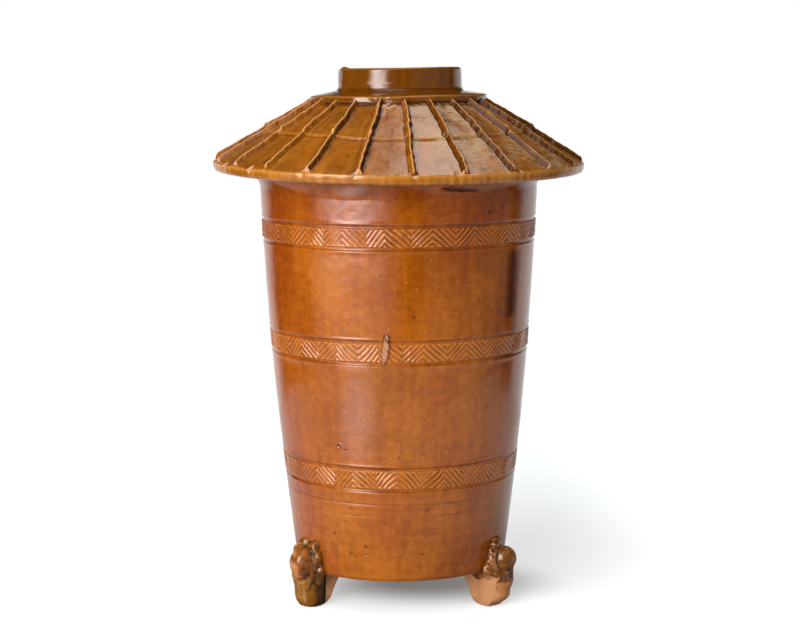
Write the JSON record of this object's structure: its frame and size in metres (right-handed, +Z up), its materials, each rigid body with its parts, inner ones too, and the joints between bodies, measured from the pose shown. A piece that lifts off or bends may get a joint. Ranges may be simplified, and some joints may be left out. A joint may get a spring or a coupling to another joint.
{
  "type": "granary jar",
  "caption": "Tapering round jar on squatting bear feet, with bands of impressed zigzag, under a conical roof of ribbed tiles with a short open collar.",
  "frame": {"origin": "on the floor under the jar's axis", "axes": "+Z up along the jar's axis, -Y the front as pictured, +X the viewer's right"},
  "size_m": [0.2072, 0.2072, 0.3005],
  "materials": {
    "drum_glaze": "glossy amber lead glaze on red earthenware, specked and pitted",
    "roof_glaze": "glossy amber-brown lead glaze, partly weathered to a pale iridescent film",
    "tile_glaze": "glossy amber lead glaze, worn pale along the crests",
    "foot_glaze": "dark olive-brown lead glaze that stops short of the bare clay at the heel",
    "bare_clay": "unglazed salmon-orange earthenware"
  },
  "bodies": {
    "root": {"base_slab": "bare_clay", "drum_wall": "drum_glaze", "eave_fillet": "drum_glaze", "roof_cone": "roof_glaze", "ridge_ring": "roof_glaze", "mouth_collar": "roof_glaze", "tube_tile_upper_01": "tile_glaze", "tube_tile_upper_02": "tile_glaze", "tube_tile_upper_03": "tile_glaze", "tube_tile_upper_04": "tile_glaze", "tube_tile_upper_05": "tile_glaze", "tube_tile_upper_06": "tile_glaze", "tube_tile_upper_07": "tile_glaze", "tube_tile_upper_08": "tile_glaze", "tube_tile_upper_09": "tile_glaze", "tube_tile_upper_10": "tile_glaze", "tube_tile_upper_11": "tile_glaze", "tube_tile_upper_12": "tile_glaze", "tube_tile_upper_13": "tile_glaze", "tube_tile_upper_14": "tile_glaze", "tube_tile_upper_15": "tile_glaze", "tube_tile_upper_16": "tile_glaze", "tube_tile_upper_17": "tile_glaze", "tube_tile_upper_18": "tile_glaze", "tube_tile_upper_19": "tile_glaze", "tube_tile_upper_20": "tile_glaze", "tube_tile_upper_21": "tile_glaze", "tube_tile_upper_22": "tile_glaze", "tube_tile_upper_23": "tile_glaze", "tube_tile_lower_01": "tile_glaze", "tube_tile_lower_02": "tile_glaze", "tube_tile_lower_03": "tile_glaze", "tube_tile_lower_04": "tile_glaze", "tube_tile_lower_05": "tile_glaze", "tube_tile_lower_06": "tile_glaze", "tube_tile_lower_07": "tile_glaze", "tube_tile_lower_08": "tile_glaze", "tube_tile_lower_09": "tile_glaze", "tube_tile_lower_10": "tile_glaze", "tube_tile_lower_11": "tile_glaze", "tube_tile_lower_12": "tile_glaze", "tube_tile_lower_13": "tile_glaze", "tube_tile_lower_14": "tile_glaze", "tube_tile_lower_15": "tile_glaze", "tube_tile_lower_16": "tile_glaze", "tube_tile_lower_17": "tile_glaze", "tube_tile_lower_18": "tile_glaze", "tube_tile_lower_19": "tile_glaze", "tube_tile_lower_20": "tile_glaze", "tube_tile_lower_21": "tile_glaze", "tube_tile_lower_22": "tile_glaze", "tube_tile_lower_23": "tile_glaze", "bear_foot_right": "foot_glaze", "bear_foot_back": "foot_glaze", "bear_foot_left": "foot_glaze"}
  },
  "joints": []
}
